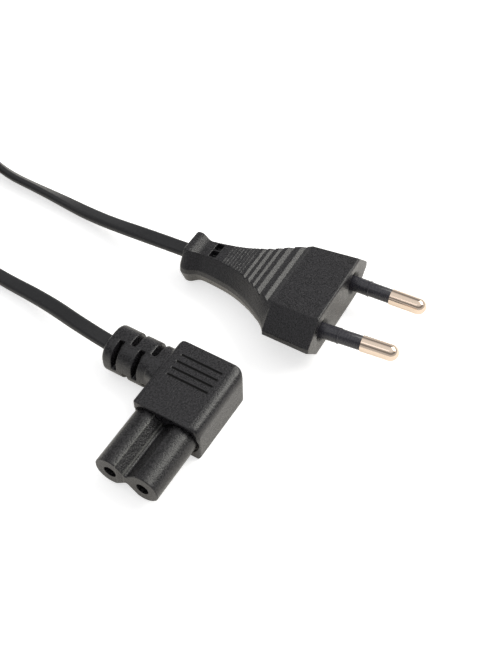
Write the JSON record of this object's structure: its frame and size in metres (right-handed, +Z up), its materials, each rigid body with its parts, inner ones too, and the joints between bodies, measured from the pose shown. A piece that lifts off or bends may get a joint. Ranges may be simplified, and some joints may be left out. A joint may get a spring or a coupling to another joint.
{
  "type": "figure eight power connector",
  "caption": "Right-angled figure-eight appliance connector on a flat flexible mains lead that ends in a slim round-pin plug, its spare length tied in a coil.",
  "frame": {"origin": "middle of the underside of the connector's box, on the table, without the cord and the plug", "axes": "+Z up from the table, -Y the way the nose points, -X the way the cord leaves the connector"},
  "size_m": [0.187, 0.0826, 0.0147],
  "materials": {
    "connector_moulding": "black flexible PVC with a fine spark-eroded grain",
    "connector_insert": "black hard thermoplastic with a fine grain",
    "plug_moulding": "black flexible PVC with a fine spark-eroded grain",
    "plug_bridge": "dark hard thermoplastic, as moulded",
    "pin_sleeve": "black semi-gloss sleeve plastic",
    "pin_metal": "bright nickel plate on brass",
    "contact_metal": "rolled tinned brass strip",
    "core_blue": "blue core insulation",
    "core_brown": "brown core insulation",
    "conductor": "stranded bare copper",
    "cord_sheath": "black satin flexible PVC sheath",
    "tie": "black nylon strap"
  },
  "bodies": {
    "root": {"connector_housing": "connector_moulding", "connector_insert": "connector_insert", "socket_contact_left": "contact_metal", "socket_contact_right": "contact_metal", "connector_core_blue": "core_blue", "connector_core_brown": "core_brown", "connector_strand_blue": "conductor", "connector_strand_brown": "conductor", "plug_body": "plug_moulding", "plug_pin_bridge": "plug_bridge", "plug_pin_left": "pin_metal", "plug_pin_right": "pin_metal", "pin_sleeve_left": "pin_sleeve", "pin_sleeve_right": "pin_sleeve", "plug_core_blue": "core_blue", "plug_core_brown": "core_brown", "plug_strand_blue": "conductor", "plug_strand_brown": "conductor", "cord_connector_run": "cord_sheath", "cord_coil": "cord_sheath", "cord_plug_run": "cord_sheath", "coil_tie": "tie"}
  },
  "joints": []
}
